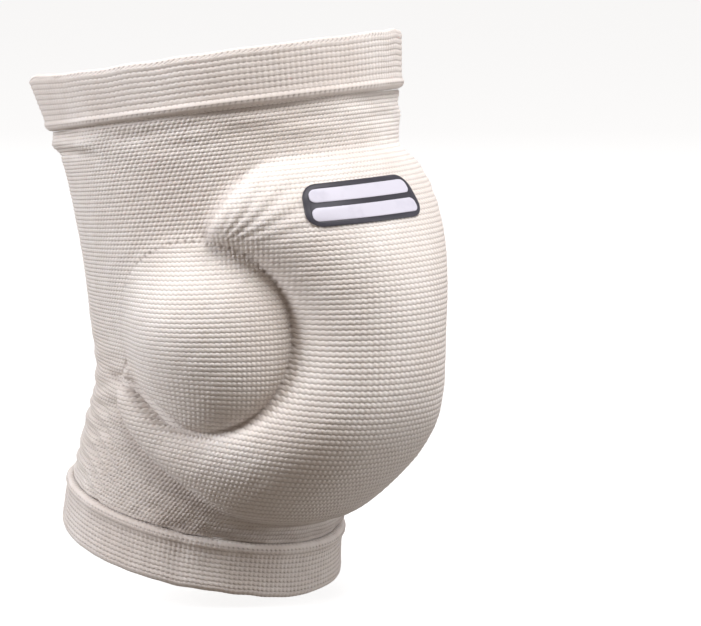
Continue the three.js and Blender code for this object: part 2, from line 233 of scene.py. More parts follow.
def section_value(column, up):
    values = SECTIONS[:, column]
    rises = np.diff(values) / np.diff(section_ups)
    tangents = np.concatenate([rises[:1], (rises[1:] + rises[:-1]) / 2, rises[-1:]])
    i = np.clip(np.searchsorted(section_ups, up) - 1, 0, len(section_ups) - 2)
    span = section_ups[i + 1] - section_ups[i]
    t = np.clip((up - section_ups[i]) / span, 0, 1)
    return (
        (2 * t**3 - 3 * t**2 + 1) * values[i]
        + (t**3 - 2 * t**2 + t) * span * tangents[i]
        + (-2 * t**3 + 3 * t**2) * values[i + 1]
        + (t**3 - t**2) * span * tangents[i + 1]
    )


def leg_point(angle, up, out):
    angle, up, out = np.broadcast_arrays(angle, up, out)
    width = HALF_WIDTH * section_value(1, up)
    depth = np.where(
        np.cos(angle) >= 0,
        FRONT_DEPTH * section_value(2, up),
        BACK_DEPTH * section_value(3, up),
    )
    lean = np.radians(section_value(5, up))
    nx = -np.sin(angle) / width
    ny = np.cos(angle) / depth
    size = np.hypot(nx, ny)
    side = -width * np.sin(angle) + out * nx / size
    fore = depth * np.cos(angle) + out * ny / size
    middle = SET_BACK * section_value(4, up)
    return np.stack([side, middle - fore * np.cos(lean), up + fore * np.sin(lean)], -1)


# Outline of the front pad as a smooth line
def spline(points, count):
    ends = np.concatenate([points[:1], points, points[-1:]])
    t = np.linspace(0, len(points) - 1, count)
    i = np.minimum(t.astype(int), len(points) - 2)
    f = (t - i)[:, None]
    a, b, c, d = ends[i], ends[i + 1], ends[i + 2], ends[i + 3]
    v0, v1 = (c - a) * 0.5, (d - b) * 0.5
    return (2 * b - 2 * c + v0 + v1) * f**3 + (-3 * b + 3 * c - 2 * v0 - v1) * f**2 + v0 * f + b


outline_scale = np.where(PAD_OUTLINE[:, 1:] < 0, PAD_BOTTOM, PAD_TOP)
outline = spline(np.hstack([PAD_OUTLINE[:, :1] * ARM_REACH, PAD_OUTLINE[:, 1:] * outline_scale]), 161)


def in_outline(around, up):
    x, y = np.abs(around), up
    best = np.full(x.shape, 1e9)
    inside = np.zeros(x.shape, bool)
    for (ax, ay), (bx, by) in zip(outline[:-1], outline[1:]):
        ex, ey = bx - ax, by - ay
        t = np.clip(((x - ax) * ex + (y - ay) * ey) / (ex * ex + ey * ey), 0, 1)
        best = np.minimum(best, np.hypot(x - ax - t * ex, y - ay - t * ey))
        if ay != by:
            crosses = (ay > y) != (by > y)
            inside ^= crosses & (x < ax + ex * (y - ay) / ey)
    return np.where(inside, best, -best)


def in_disc(around, up):
    return DISC_RADIUS - np.hypot(np.abs(around) - DISC_AROUND, up - DISC_UP)


def foam_height(around, up, field):
    out = np.abs(around)
    disc = in_disc(around, up)
    thinning = 1 - ARM_THINNING * rises(out, THINNING_START, ARM_REACH)
    over = np.clip((up - PAD_CREST_UP) / (PAD_TOP - PAD_CREST_UP), 0, 1)
    under = np.clip((PAD_CREST_UP - up) / (PAD_CREST_UP + PAD_BOTTOM), 0, 1)
    along = np.where(up > PAD_CREST_UP, (1 - over**2) ** TOP_FULLNESS, (1 - under**2) ** BOTTOM_FULLNESS)
    swell = PAD_SWELL * thinning * along
    groove = np.minimum(GROOVE_FOAM * thinning, swell)
    lip = np.sqrt(1 - (1 - np.clip(field / PAD_LIP_RUN, 0, 1)) ** 2)
    run = mix(GROOVE_RUN, ARM_RUN, rises(out, ARM_RUN_START, ARM_RUN_CHANGE))
    rise = (1 - (1 - np.clip(-disc / run, 0, 1)) ** 2) ** GROOVE_FULLNESS
    fore = (DISC_AROUND - out) * DISC_FORE[0] - (up - DISC_UP) * DISC_FORE[1]
    fullness = mix(DISC_FULLNESS_BACK, DISC_FULLNESS, smooth(0.5 + fore / (DISC_FORE_SPREAD * DISC_RADIUS)))
    crown = (1 - (1 - np.clip(disc / DISC_RADIUS, 0, 1)) ** 2) ** fullness
    outside = mix(groove, swell, rise) * lip
    inside = (groove + (DISC_SWELL - groove) * crown) * lip
    return np.where(field <= 0, 0, np.where(disc < 0, outside, inside))


# Map of the padded field, on one half of the leg, with a soft blur for the cloth that spans the foam
MAP_STEP = 0.6
map_arounds = np.arange(0, math.pi * AROUND_RADIUS + MAP_STEP, MAP_STEP)
map_ups = np.arange(-60, 124, MAP_STEP)
map_around, map_up = np.meshgrid(map_arounds, map_ups)
map_outline = in_outline(map_around, map_up)
map_field = np.maximum(map_outline, in_disc(map_around, map_up) + DISC_RIM)
map_foam = foam_height(map_around, map_up, map_field)


def blurred(values, sigma):
    reach = int(3 * sigma / MAP_STEP) + 1
    kernel = np.exp(-0.5 * (np.arange(-reach, reach + 1) * MAP_STEP / sigma) ** 2)
    kernel /= kernel.sum()
    padded = np.pad(values, reach, mode="reflect")
    rows = np.apply_along_axis(lambda a: np.convolve(a, kernel, "valid"), 0, padded)
    return np.apply_along_axis(lambda a: np.convolve(a, kernel, "valid"), 1, rows)


soft_foam = blurred(map_foam, FOAM_BLUR)
slope_up, slope_around = np.gradient(soft_foam, MAP_STEP)
steepness = np.minimum(np.sqrt(1 + slope_up**2 + slope_around**2), STEEPEST)
map_knit = soft_foam + KNIT_WALL * blurred(steepness, WALL_BLUR)


def on_map(values, around, up):
    half_girth = math.pi * AROUND_RADIUS
    wrapped = np.abs((around + half_girth) % (2 * half_girth) - half_girth)
    x = np.clip(wrapped / MAP_STEP, 0, values.shape[1] - 1.001)
    y = np.clip((up - map_ups[0]) / MAP_STEP, 0, values.shape[0] - 1.001)
    i, j = y.astype(int), x.astype(int)
    fy, fx = y - i, x - j
    low = values[i, j] * (1 - fx) + values[i, j + 1] * fx
    high = values[i + 1, j] * (1 - fx) + values[i + 1, j + 1] * fx
    return low * (1 - fy) + high * fy


# Meshes
def make_mesh(name, points, faces, uv, material, attributes=None, period=None, normals=None):
    sizes = np.array([f.shape[1] for f in faces for _ in range(len(f))])
    loops = np.concatenate([f.ravel() for f in faces])
    mesh = bpy.data.meshes.new(name)
    mesh.vertices.add(len(points))
    mesh.vertices.foreach_set("co", (points * MM).astype(np.float32).ravel())
    mesh.loops.add(len(loops))
    mesh.loops.foreach_set("vertex_index", loops.astype(np.int32))
    mesh.polygons.add(len(sizes))
    starts = np.concatenate([[0], np.cumsum(sizes)[:-1]]).astype(np.int32)
    mesh.polygons.foreach_set("loop_start", starts)
    mesh.update(calc_edges=True)
    if uv is not None:
        corner = uv[loops].copy()
        if period:
            owner = np.repeat(np.arange(len(sizes)), sizes)
            high = np.full(len(sizes), -1e9)
            np.maximum.at(high, owner, corner[:, 0])
            corner[:, 0] += np.where(high[owner] - corner[:, 0] > period / 2, period, 0)
        layer = mesh.uv_layers.new(name="stitches")
        layer.data.foreach_set("uv", corner.astype(np.float32).ravel())
    for key, values in (attributes or {}).items():
        attribute = mesh.attributes.new(key, "FLOAT", "POINT")
        attribute.data.foreach_set("value", values.astype(np.float32))
    mesh.validate()
    mesh.polygons.foreach_set("use_smooth", np.ones(len(mesh.polygons), bool))
    if normals is not None:
        mesh.normals_split_custom_set_from_vertices(normals.astype(np.float32))
    mesh.materials.append(material)
    obj = bpy.data.objects.new(name, mesh)
    bpy.context.scene.collection.objects.link(obj)
    return obj


def grid_faces(rows, columns, start=0, closed=False, flip=False):
    i, j = np.meshgrid(np.arange(rows - 1), np.arange(columns if closed else columns - 1), indexing="ij")
    a = start + i * columns + j
    b = start + i * columns + (j + 1) % columns
    quads = np.stack([a, a + columns, b + columns, b], -1).reshape(-1, 4)
    return quads[:, ::-1] if flip else quads


def unit(vectors):
    return vectors / np.maximum(np.linalg.norm(vectors, axis=-1, keepdims=True), 1e-9)


def grid_normals(points, closed=False):
    if closed:
        along = (np.roll(points, -1, 1) - np.roll(points, 1, 1)) / 2
    else:
        along = np.gradient(points, axis=1)
    up = np.gradient(points, axis=0)
    return unit(np.cross(up, along))


# Courses of the knit up the sleeve: closer together above the pads
SLEEVE_BOTTOM = -BELOW_BEND + BOTTOM_CUFF_HEIGHT + CLEARANCE
SLEEVE_TOP = ABOVE_BEND - TOP_CUFF_HEIGHT - CLEARANCE


def course_table():
    ups = np.linspace(SLEEVE_BOTTOM, SLEEVE_TOP, 800)
    pitch = mix(COURSE_PITCH, COURSE_PITCH_ABOVE, rises(ups, 80, 20))
    pitch = pitch - COURSE_PITCH_DROP * falls(ups, -30, 15)
    count = np.concatenate([[0], np.cumsum((ups[1] - ups[0]) / ((pitch[1:] + pitch[:-1]) / 2))])
    return ups, count * round(count[-1]) / count[-1]


course_ups, course_counts = course_table()
COURSES = int(round(course_counts[-1]))


# Wales round the sleeve: closer together at the front, where the pad stretches the cloth most
def wale_table():
    arounds = np.linspace(-math.pi * AROUND_RADIUS, math.pi * AROUND_RADIUS, 1601)
    pitch = mix(WALE_PITCH_FRONT, WALE_PITCH_BACK, rises(np.abs(arounds), 45, 45))
    step = arounds[1] - arounds[0]
    count = np.concatenate([[0], np.cumsum(step / ((pitch[1:] + pitch[:-1]) / 2))])
    return arounds, count * WALES / count[-1]


wale_arounds, wale_counts = wale_table()


def triangle_wave(t):
    return np.abs(2 * (t - np.floor(t)) - 1)


# Height of the stitches over the cloth, in millimetres
def pad_relief(wale, course):
    zigzag = course + 0.2 * triangle_wave(wale)
    ridge = np.sqrt(np.clip(1 - triangle_wave(zigzag) ** 2, 0, 1))
    bead = 0.5 + 0.5 * np.cos(2 * math.pi * (wale - 0.5))
    return PAD_STITCH * ridge * (0.48 + 0.52 * bead)


def plain_relief(wale, course):
    row = np.floor(course)
    f = course - row
    across = wale + 0.5 * (row % 2) + 0.45 * (f - 0.5)
    bead = 0.5 + 0.5 * np.cos(2 * math.pi * (across - 0.5))
    ridge = np.sqrt(np.clip(1 - triangle_wave(course) ** 2, 0, 1))
    return PLAIN_STITCH * (0.3 + 0.7 * ridge) * (0.25 + 0.75 * bead)


# Soft random waves that close on themselves round the leg
def round_waves(around, up, length, count, seed, squeeze=1.0):
    girth = 2 * math.pi * AROUND_RADIUS
    over = rises(around / girth, 0.3, 0.2)
    here = waves(around * squeeze, up, length, count, seed)
    return mix(here, waves((around - girth) * squeeze, up, length, count, seed), over)


# Folds and hollows that the cloth has besides the foam's form
def cloth_form(around, up):
    out = np.abs(around)
    turn = around / AROUND_RADIUS
    outside = falls(on_map(map_field, around, up), 2, 10)
    slow = round_waves(around, up, 46, 9, 3) * 0.4
    level = up + 0.06 * out + 1.5 * np.sin(6 * turn)
    crease = np.sin(2 * math.pi * level / CREASE_PITCH + 1.4 * np.sin(3 * turn))
    crease = crease * bell(up + 6, 26) * rises(out, 88, 25) * CREASE_HEIGHT
    lower = arm_edges(around)[1]
    low = falls(up, lower - 1, 6) * outside
    uneven = np.clip(0.55 + 0.6 * round_waves(around, up, 42, 5, 8), 0, 1.3)
    pleat = np.sin(2 * math.pi * (up - 0.8 * lower + 1.6 * np.sin(5 * turn)) / PLEAT_PITCH)
    pleat = pleat * PLEAT_HEIGHT * low * uneven
    tuck = bell(up - SLEEVE_TOP + 5, 7) * (round_waves(around, up * 1.4, 13, 7, 5, 0.35) * TUCK_HEIGHT)
    hem = bell(up - SLEEVE_BOTTOM, 5) * round_waves(around, up, 10, 7, 6) * RUCK_HEIGHT
    hem = hem + second_fold(around, up)
    slack = (slow + crease + pleat) * (0.3 + 0.7 * outside)
    return slack + tuck + hem - seam_valley(around, up) + arm_folds(around, up) + fan(around, up)


# Small loose fold under the top hem, at the back of the wearer's right side
def second_fold(around, up):
    level = SLEEVE_TOP - 6.5 - 1.5 * np.sin(around / 12)
    share = rises(around, 96, 16) * falls(around, 172, 20)
    return share * (FOLD_HEIGHT * bell(up - level, 2.3) - FOLD_HOLLOW * bell(up - level + 4.6, 1.6))


# Valley that the seams pull into the cloth: round the side pads and along the front pad's outline
def seam_valley(around, up):
    out = np.abs(around)
    disc = in_disc(around, up)
    outline_depth = on_map(map_outline, around, up)
    fore = ((DISC_AROUND - out) * 0.85 - (up - DISC_UP) * 0.5) / DISC_RADIUS
    ring = SEAM_DEPTH * bell(disc, 1.7) * mix(0.12, 1, smooth(0.5 + fore))
    rim = RIM_DEPTH * bell(outline_depth - 0.3, 1.7) * falls(disc, 1, 3)
    rim = rim * np.maximum(rises(out, 36, 12), falls(up, -18, 10))
    return ring + rim


def arm_edges(around):
    out = np.abs(around)
    upper = np.interp(out, *ARM_UPPER.T)
    lower = np.interp(out, *ARM_LOWER.T)
    return upper + 0.5 * np.sin(out / 5), lower


# Folds that run on from the pad's arms into the cloth behind them: a ridge between two creases
def arm_folds(around, up):
    out = np.abs(around)
    upper, lower = arm_edges(around)
    above = UPPER_CREASE * bell(up - upper, 2.5) * rises(out, 68, 16) * falls(out, 126, 18)
    below = LOWER_CREASE * bell(up - lower, 2.4) * rises(out, 54, 12) * falls(out, 118, 14)
    between = bell(up - (upper + lower) / 2, 6.5)
    return ARM_RIDGE * between * rises(out, 78, 14) * falls(out, 124, 20) - above - below


# Painted shade: where the cloth is painted darker, in seams and creases, and under the arms, the front pad
# and the top hem, where shade falls
def painted_crease_shade(around, up):
    out = np.abs(around)
    upper, lower = arm_edges(around)
    seams = 0.5 * np.clip(seam_valley(around, up) / SEAM_DEPTH, 0, 1) ** 1.5
    under_arm = bell(up - lower + 4, 5) * rises(out, 36, 20) * falls(out, 112, 20)
    in_crease = bell(up - upper, 2) * rises(out, 64, 14) * falls(out, 122, 16)
    under_pad = bell(up - SLEEVE_BOTTOM - 2.5, 3.2) * falls(out, 80, 20)
    in_seam = bell(up - lower, 1.9) * rises(out, 50, 12) * falls(out, 110, 14)
    in_seam = in_seam * (0.75 + 0.25 * np.sin(out * 2.1))
    under_hem = bell(up - SLEEVE_TOP, 1.6) * np.ones_like(out)
    arm = np.maximum(0.65 * under_arm, np.maximum(0.95 * in_crease, 0.9 * in_seam))
    return np.maximum(np.maximum(seams, arm), np.maximum(0.75 * under_pad, 0.6 * under_hem))


# Share of the pull that turns the rows into upright ribs, on the front pad's upper corners
def pulled(around, up):
    beside = np.abs(around) - PULL_AROUND
    x = beside / 17
    y = (up - PULL_UP + 0.25 * beside) / 12
    return np.exp(-((x * x + y * y) ** 1.5))


# Soft pleats that fan out from the top of the side pad's seam
def fan(around, up):
    x = np.abs(around) - FAN_AROUND
    y = up - FAN_UP
    reach = np.hypot(x, y)
    turn = np.arctan2(y, -x)
    window = rises(reach, 4, 8) * falls(reach, 50, 24)
    window = window * bell(turn - 0.7, 0.5)
    return FAN_HEIGHT * window * np.sin(turn * FAN_RIBS + 0.8 * np.sin(reach / 6))


# How deep a place lies in a needle hole: a row of dots along the side pads' seams; the depth dents the
# cloth and also paints shade into the holes
def needle_holes(around, up):
    out = np.abs(around)
    x, y = out - DISC_AROUND, up - DISC_UP
    disc = DISC_RADIUS - np.hypot(x, y)
    along = np.arctan2(y, x) * DISC_RADIUS
    dots = np.clip(np.cos(2 * math.pi * (along + 0.4 * np.sin(along / 5.3)) / NEEDLE_PITCH), 0, 1) ** 0.7
    fore = (-x * 0.6 + y * 0.7) / DISC_RADIUS
    share = mix(0.15, 0.8, smooth(0.55 + fore)) * (0.75 + 0.35 * np.sin(along / 4.1) * np.sin(along / 1.7))
    ring = bell(disc - 0.2 + 0.3 * np.sin(along / 3.7), 0.75) * dots * share
    outline_depth = on_map(map_outline, around, up)
    dash = np.clip(np.cos(2 * math.pi * (up * 1.3 + out * 0.4) / RIM_NEEDLE_PITCH), 0, 1)
    rim = 0.4 * bell(outline_depth - 0.6, 0.7) * dash
    rim = rim * falls(disc, -1, 2) * rises(out, 38, 10)
    return np.maximum(ring, rim)


# Share of the padded field's stitches, by how far inside its edge a place lies
def pad_share(field):
    return rises(field, -1, 7)


def sleeve_surface(wale, course):
    around = np.interp(wale % WALES, wale_counts, wale_arounds)
    up = np.interp(course, course_counts, course_ups)
    around, up = np.broadcast_arrays(around, up)
    out = on_map(map_knit, around, up) + cloth_form(around, up) - 0.25
    return around, up, out


MATERIALS = {}


def sleeve_sector(index):
    per = WALES // SECTORS
    columns = per * WALE_SAMPLES + 1
    rows = COURSES * COURSE_SAMPLES + 1
    wale = index * per + np.arange(-2, columns + 2)[None, :] / WALE_SAMPLES
    course = np.arange(rows)[:, None] / COURSE_SAMPLES
    around, up, out = sleeve_surface(wale, course)
    base = leg_point(around / AROUND_RADIUS, up, out)
    normal = grid_normals(base)
    on_pad = pad_share(on_map(map_field, around, up))
    stitch = mix(plain_relief(wale, course), pad_relief(wale, course), on_pad)
    ribs = RIB_HEIGHT * (0.5 + 0.5 * np.cos(2 * math.pi * (wale - 0.5)))
    pull = pulled(around, up)
    stitch = mix(stitch, 0.3 * stitch + ribs, 0.85 * pull)
    wear = 1 + 0.14 * round_waves(around, up, 9, 6, 11) + 0.1 * waves(wale % WALES, course, 3.1, 7, 12)
    end = smooth(np.minimum(course, COURSES - course))
    holes = needle_holes(around, up)
    points = base + normal * (stitch * wear * end - HOLE_DEPTH * holes)[..., None]
    shading = grid_normals(points)[:, 2:-2].reshape(-1, 3)
    on_pad = mix(on_pad, 0.5, pull)
    points, on_pad, holes = points[:, 2:-2], on_pad[:, 2:-2], holes[:, 2:-2]
    uv = np.stack(np.broadcast_arrays(wale[:, 2:-2], course), -1).reshape(-1, 2)
    inner_wale = index * per + np.arange(per + 1)[None, :]
    inner_course = np.arange(COURSES + 1)[:, None]
    ia, iu, _ = sleeve_surface(inner_wale, inner_course)
    inner_out = on_map(soft_foam, ia, iu) + 0.45
    inner = leg_point(ia / AROUND_RADIUS, iu, inner_out)
    inner_uv = np.stack(np.broadcast_arrays(inner_wale, inner_course), -1).reshape(-1, 2)
    outer_count = rows * columns
    faces = [
        grid_faces(rows, columns),
        grid_faces(COURSES + 1, per + 1, outer_count, flip=True),
    ]
    outer_ids = np.arange(outer_count).reshape(rows, columns)
    inner_ids = outer_count + np.arange((COURSES + 1) * (per + 1)).reshape(COURSES + 1, per + 1)
    faces.append(edge_band(outer_ids[0], inner_ids[0], WALE_SAMPLES, True))
    faces.append(edge_band(outer_ids[-1], inner_ids[-1], WALE_SAMPLES, False))
    faces.append(edge_band(outer_ids[:, 0], inner_ids[:, 0], COURSE_SAMPLES, False))
    faces.append(edge_band(outer_ids[:, -1], inner_ids[:, -1], COURSE_SAMPLES, True))
    all_points = np.concatenate([points.reshape(-1, 3), inner.reshape(-1, 3)])
    zone = np.concatenate([on_pad.ravel(), pad_share(on_map(map_field, ia, iu)).ravel()])
    # Needle hole depth for the cloth's colour, which paints shade into the holes
    pits = np.concatenate([holes.ravel(), np.zeros(ia.size)])
    # Painted shade in seams and creases and under the arms, the front pad and the top hem, for the cloth's
    # colour
    folds = np.concatenate([painted_crease_shade(around, up)[:, 2:-2].ravel(), np.zeros(ia.size)])
    shading = np.concatenate([shading, -grid_normals(inner).reshape(-1, 3)])
    name = f"sleeve_{('back_left', 'front_left', 'front_right', 'back_right')[index]}"
    return make_mesh(
        name,
        all_points,
        faces,
        np.concatenate([uv, inner_uv]),
        MATERIALS["knit"],
        {"on_pad": zone, "pit": pits, "fold": folds},
        normals=shading,
    )


# Triangles between a fine edge and a coarse one, where the coarse one has each so many of the fine points
def edge_band(fine, coarse, samples, flip):
    found = []
    for k in range(len(coarse) - 1):
        part = fine[k * samples : (k + 1) * samples + 1]
        half = samples // 2
        for m in range(half):
            found.append((coarse[k], part[m + 1], part[m]))
        found.append((coarse[k], coarse[k + 1], part[half]))
        for m in range(half, samples):
            found.append((coarse[k + 1], part[m + 1], part[m]))
    found = np.array(found)
    return found[:, ::-1] if flip else found


# Hem: outer face from its roll to the fold, and the smooth inner face back to the roll
def hem(name, rim, edge, away, wales, pitch):
    height = abs(rim - edge)
    fold = HEM_WALL / 2
    profile = []
    courses = (height - fold) / pitch
    count = int(round(courses)) * HEM_SAMPLES
    for k in range(count + 1):
        t = k / count
        along = t * (height - fold)
        roll = LIP_HEIGHT * math.exp(-(((along - LIP_MIDDLE) / LIP_WIDTH) ** 2))
        start = HEM_ROUND * (1 - math.sqrt(1 - (1 - min(along / HEM_ROUND, 1)) ** 2))
        knit = 0.3 + 0.7 * float(smooth((along - 3.2) / 2.2))
        profile.append((edge + away * along, HEM_WALL - 0.45 + roll - start, along / pitch, knit))
    turns = 10
    last = profile[-1][2]
    for k in range(1, turns + 1):
        turn = math.pi * k / turns
        up = rim - away * fold + away * fold * math.sin(turn)
        out = fold - 0.15 + (fold - 0.2) * math.cos(turn)
        profile.append((up, out, last + k * 0.22, 0.0))
    inner = 8
    for k in range(1, inner + 1):
        t = k / inner
        profile.append((mix(rim - away * fold, edge, t), 0.0, last + 2.2 + t * 6, 0.0))
    profile.append((edge, KNIT_WALL - 0.4, last + 9, 0.0))
    profile = np.array(profile)
    columns = wales * HEM_SAMPLES
    wale = np.arange(columns)[None, :] / HEM_SAMPLES
    angle = (wale / wales - 0.5) * 2 * math.pi
    up, out, course, knit = (profile[:, k][:, None] for k in range(4))
    around = angle * AROUND_RADIUS
    share = np.clip(away * (up - edge) / height, 0, 1)
    turned = np.concatenate([np.cos(angle) * HEM_WAVE_RADIUS, np.sin(angle) * HEM_WAVE_RADIUS])
    wobble = waves(turned[0][None, :], turned[1][None, :] + up * 0.6, 60, 6, 21 if away > 0 else 22)
    ripple = waves(turned[0][None, :], turned[1][None, :], 17, 8, 23 if away > 0 else 24)
    raised = HEM_RAISED * bell(angle - RAISED_ANGLE, 0.5) if away > 0 else 0.0
    up = up + share * (0.5 * wobble + 0.22 * ripple + raised)
    out = out + 0.35 * wobble * share + 0.18 * ripple
    base = leg_point(angle, up, out)
    stitch = 0.42 * hem_relief(wale, course) * knit * (1 + 0.12 * waves(wale, course, 3.3, 7, 14))
    fold_lines = 0.16 * (0.5 + 0.5 * np.cos(2 * math.pi * wale)) * (1 - knit) * (course < last + 2.3)
    direction = leg_point(angle, up, out + 1) - base
    points = base + direction * (stitch - fold_lines)[..., None]
    rows = len(profile)
    quads = grid_faces(rows, columns, closed=True, flip=away < 0)
    ends = np.arange(columns)
    bottom = (rows - 1) * columns + ends
    nexts = np.roll(ends, -1)
    band = np.stack([bottom, ends, nexts, (rows - 1) * columns + nexts], -1)
    if away < 0:
        band = band[:, ::-1]
    uv = np.stack(np.broadcast_arrays(wale, course), -1).reshape(-1, 2)
    zone = {"on_pad": np.broadcast_to(knit, (rows, columns)).ravel() * 0.8}
    return make_mesh(name, points.reshape(-1, 3), [quads, band], uv, MATERIALS["cuff"], zone, wales)


def hem_relief(wale, course):
    f = course - np.floor(course)
    across = wale + 0.3 * (f - 0.5)
    bead = 0.5 + 0.5 * np.cos(2 * math.pi * (across - 0.5))
    ridge = np.sqrt(np.clip(1 - triangle_wave(course) ** 2, 0, 1))
    return HEM_STITCH * ridge * (0.34 + 0.66 * bead)


# Foam pads, seen from inside the tube
def pad_piece(name, low, high, inside):
    step = 1.6
    arounds = np.arange(low[0], high[0] + step, step)
    ups = np.arange(low[1], high[1] + step, step)
    around, up = np.meshgrid(arounds, ups)
    depth = inside(around, up)
    e = 0.2
    for _ in range(3):
        gx = (inside(around + e, up) - inside(around - e, up)) / (2 * e)
        gy = (inside(around, up + e) - inside(around, up - e)) / (2 * e)
        depth = inside(around, up)
        size = np.maximum(gx * gx + gy * gy, 0.2)
        near = (depth < 0) & (depth > -1.8 * step)
        around = np.where(near, around - depth * gx / size, around)
        up = np.where(near, up - depth * gy / size, up)
    used_point = inside(around, up) > -0.25
    used = used_point[:-1, :-1] & used_point[1:, :-1] & used_point[1:, 1:] & used_point[:-1, 1:]
    columns = len(arounds)
    i, j = np.nonzero(used)
    a = i * columns + j
    quads = np.stack([a, a + columns, a + columns + 1, a + 1], -1)
    ids = np.unique(quads)
    back = np.full(columns * len(ups), -1)
    back[ids] = np.arange(len(ids))
    quads = back[quads]
    around, up = around.ravel()[ids], up.ravel()[ids]
    depth = inside(around, up)
    foam = on_map(soft_foam, around, up)
    soft = np.sqrt(np.clip(1 - (1 - np.clip(depth / 3, 0, 1)) ** 2, 0, 1))
    inner_out = BACKING + 0.6 * (1 - soft) + 0.12 * waves(around, up, 24, 6, 31)
    outer_out = np.maximum(foam - 0.3, inner_out + 0.2)
    inner = leg_point(around / AROUND_RADIUS, up, inner_out)
    outer = leg_point(around / AROUND_RADIUS, up, outer_out)
    count = len(ids)
    edges = np.concatenate([quads[:, [0, 1]], quads[:, [1, 2]], quads[:, [2, 3]], quads[:, [3, 0]]])
    keys = edges[:, 0].astype(np.int64) * count + edges[:, 1]
    twins = edges[:, 1].astype(np.int64) * count + edges[:, 0]
    rim = edges[~np.isin(keys, twins)]
    wall = np.stack([rim[:, 0] + count, rim[:, 1] + count, rim[:, 1], rim[:, 0]], -1)
    uv = np.stack([around / 2.1, up / 2.1], -1)
    return make_mesh(
        name,
        np.concatenate([inner, outer]),
        [quads[:, ::-1], quads + count, wall],
        np.concatenate([uv, uv]),
        MATERIALS["padding"],
        {"on_pad": np.zeros(2 * count)},
    )


# Badge plates: rings of a rounded outline that shrink inwards, laid on the cloth
def rounded(half_width, half_height, corner, inset, per_corner=8, per_side=22):
    w, h = half_width - inset, half_height - inset
    c = max(corner - inset, 0.02)
    w, h = max(w, c), max(h, c)
    points = []
    corners = [(w - c, h - c, 0), (-w + c, h - c, 90), (-w + c, -h + c, 180), (w - c, -h + c, 270)]
    for index, (x, y, start) in enumerate(corners):
        turns = [math.radians(start + 90 * k / per_corner) for k in range(per_corner + 1)]
        arc = [(x + c * math.cos(turn), y + c * math.sin(turn)) for turn in turns]
        points += arc
        nx, ny, nstart = corners[(index + 1) % 4]
        end = (nx + c * math.cos(math.radians(nstart)), ny + c * math.sin(math.radians(nstart)))
        for k in range(1, per_side):
            points.append((mix(arc[-1][0], end[0], k / per_side), mix(arc[-1][1], end[1], k / per_side)))
    return np.array(points)


def badge_plate(name, half_width, half_height, corner, centre, rings, material):
    points, normals = [], []
    slopes = np.gradient(np.array(rings), axis=0)
    slopes[-1] = (1, 0)
    for (inset, level), (inward, rise) in zip(rings, slopes):
        ring = rounded(half_width, half_height, corner, inset) + np.array(centre)
        wider = rounded(half_width, half_height, corner, inset - 0.1) + np.array(centre)
        around, up = BADGE_AROUND - ring[:, 0], BADGE_UP + ring[:, 1]
        place = badge_place(around, up, level)
        points.append(place)
        away = badge_place(BADGE_AROUND - wider[:, 0], BADGE_UP + wider[:, 1], level) - place
        along_up = badge_place(around, up + 0.5, level) - badge_place(around, up - 0.5, level)
        along_around = badge_place(around + 0.5, up, level) - badge_place(around - 0.5, up, level)
        normals.append(rise * unit(away) + inward * unit(np.cross(along_up, along_around)))
    rows, columns = len(rings), len(points[0])
    flat = np.array(points).reshape(-1, 3)
    shell = grid_faces(rows, columns, closed=True)
    outer = rounded(half_width, half_height, corner, 0)
    upper = [k for k in np.argsort(-outer[:, 0], kind="stable") if outer[k, 1] > -1e-6]
    mirror = {}
    for k in upper:
        mirror[k] = int(np.argmin(np.hypot(outer[:, 0] - outer[k, 0], outer[:, 1] + outer[k, 1])))
    order = sorted(upper, key=lambda k: math.atan2(outer[k, 1] / half_height, outer[k, 0] / half_width))
    strips = np.array([(a, b, mirror[b], mirror[a]) for a, b in zip(order[:-1], order[1:])])
    top = strips + (rows - 1) * columns
    faces = [shell[:, ::-1], top, strips[:, ::-1]]
    shading = unit(np.array(normals).reshape(-1, 3))
    return make_mesh(name, flat, [only_real(f) for f in faces], None, material, normals=shading)


# Faces whose corners are all different
def only_real(quads):
    ordered = np.sort(quads, axis=1)
    return quads[(np.diff(ordered, axis=1) > 0).all(axis=1)]


def badge_place(around, up, level):
    out = on_map(map_knit, around, up) + cloth_form(around, up) + level
    return leg_point(around / AROUND_RADIUS, up, out)


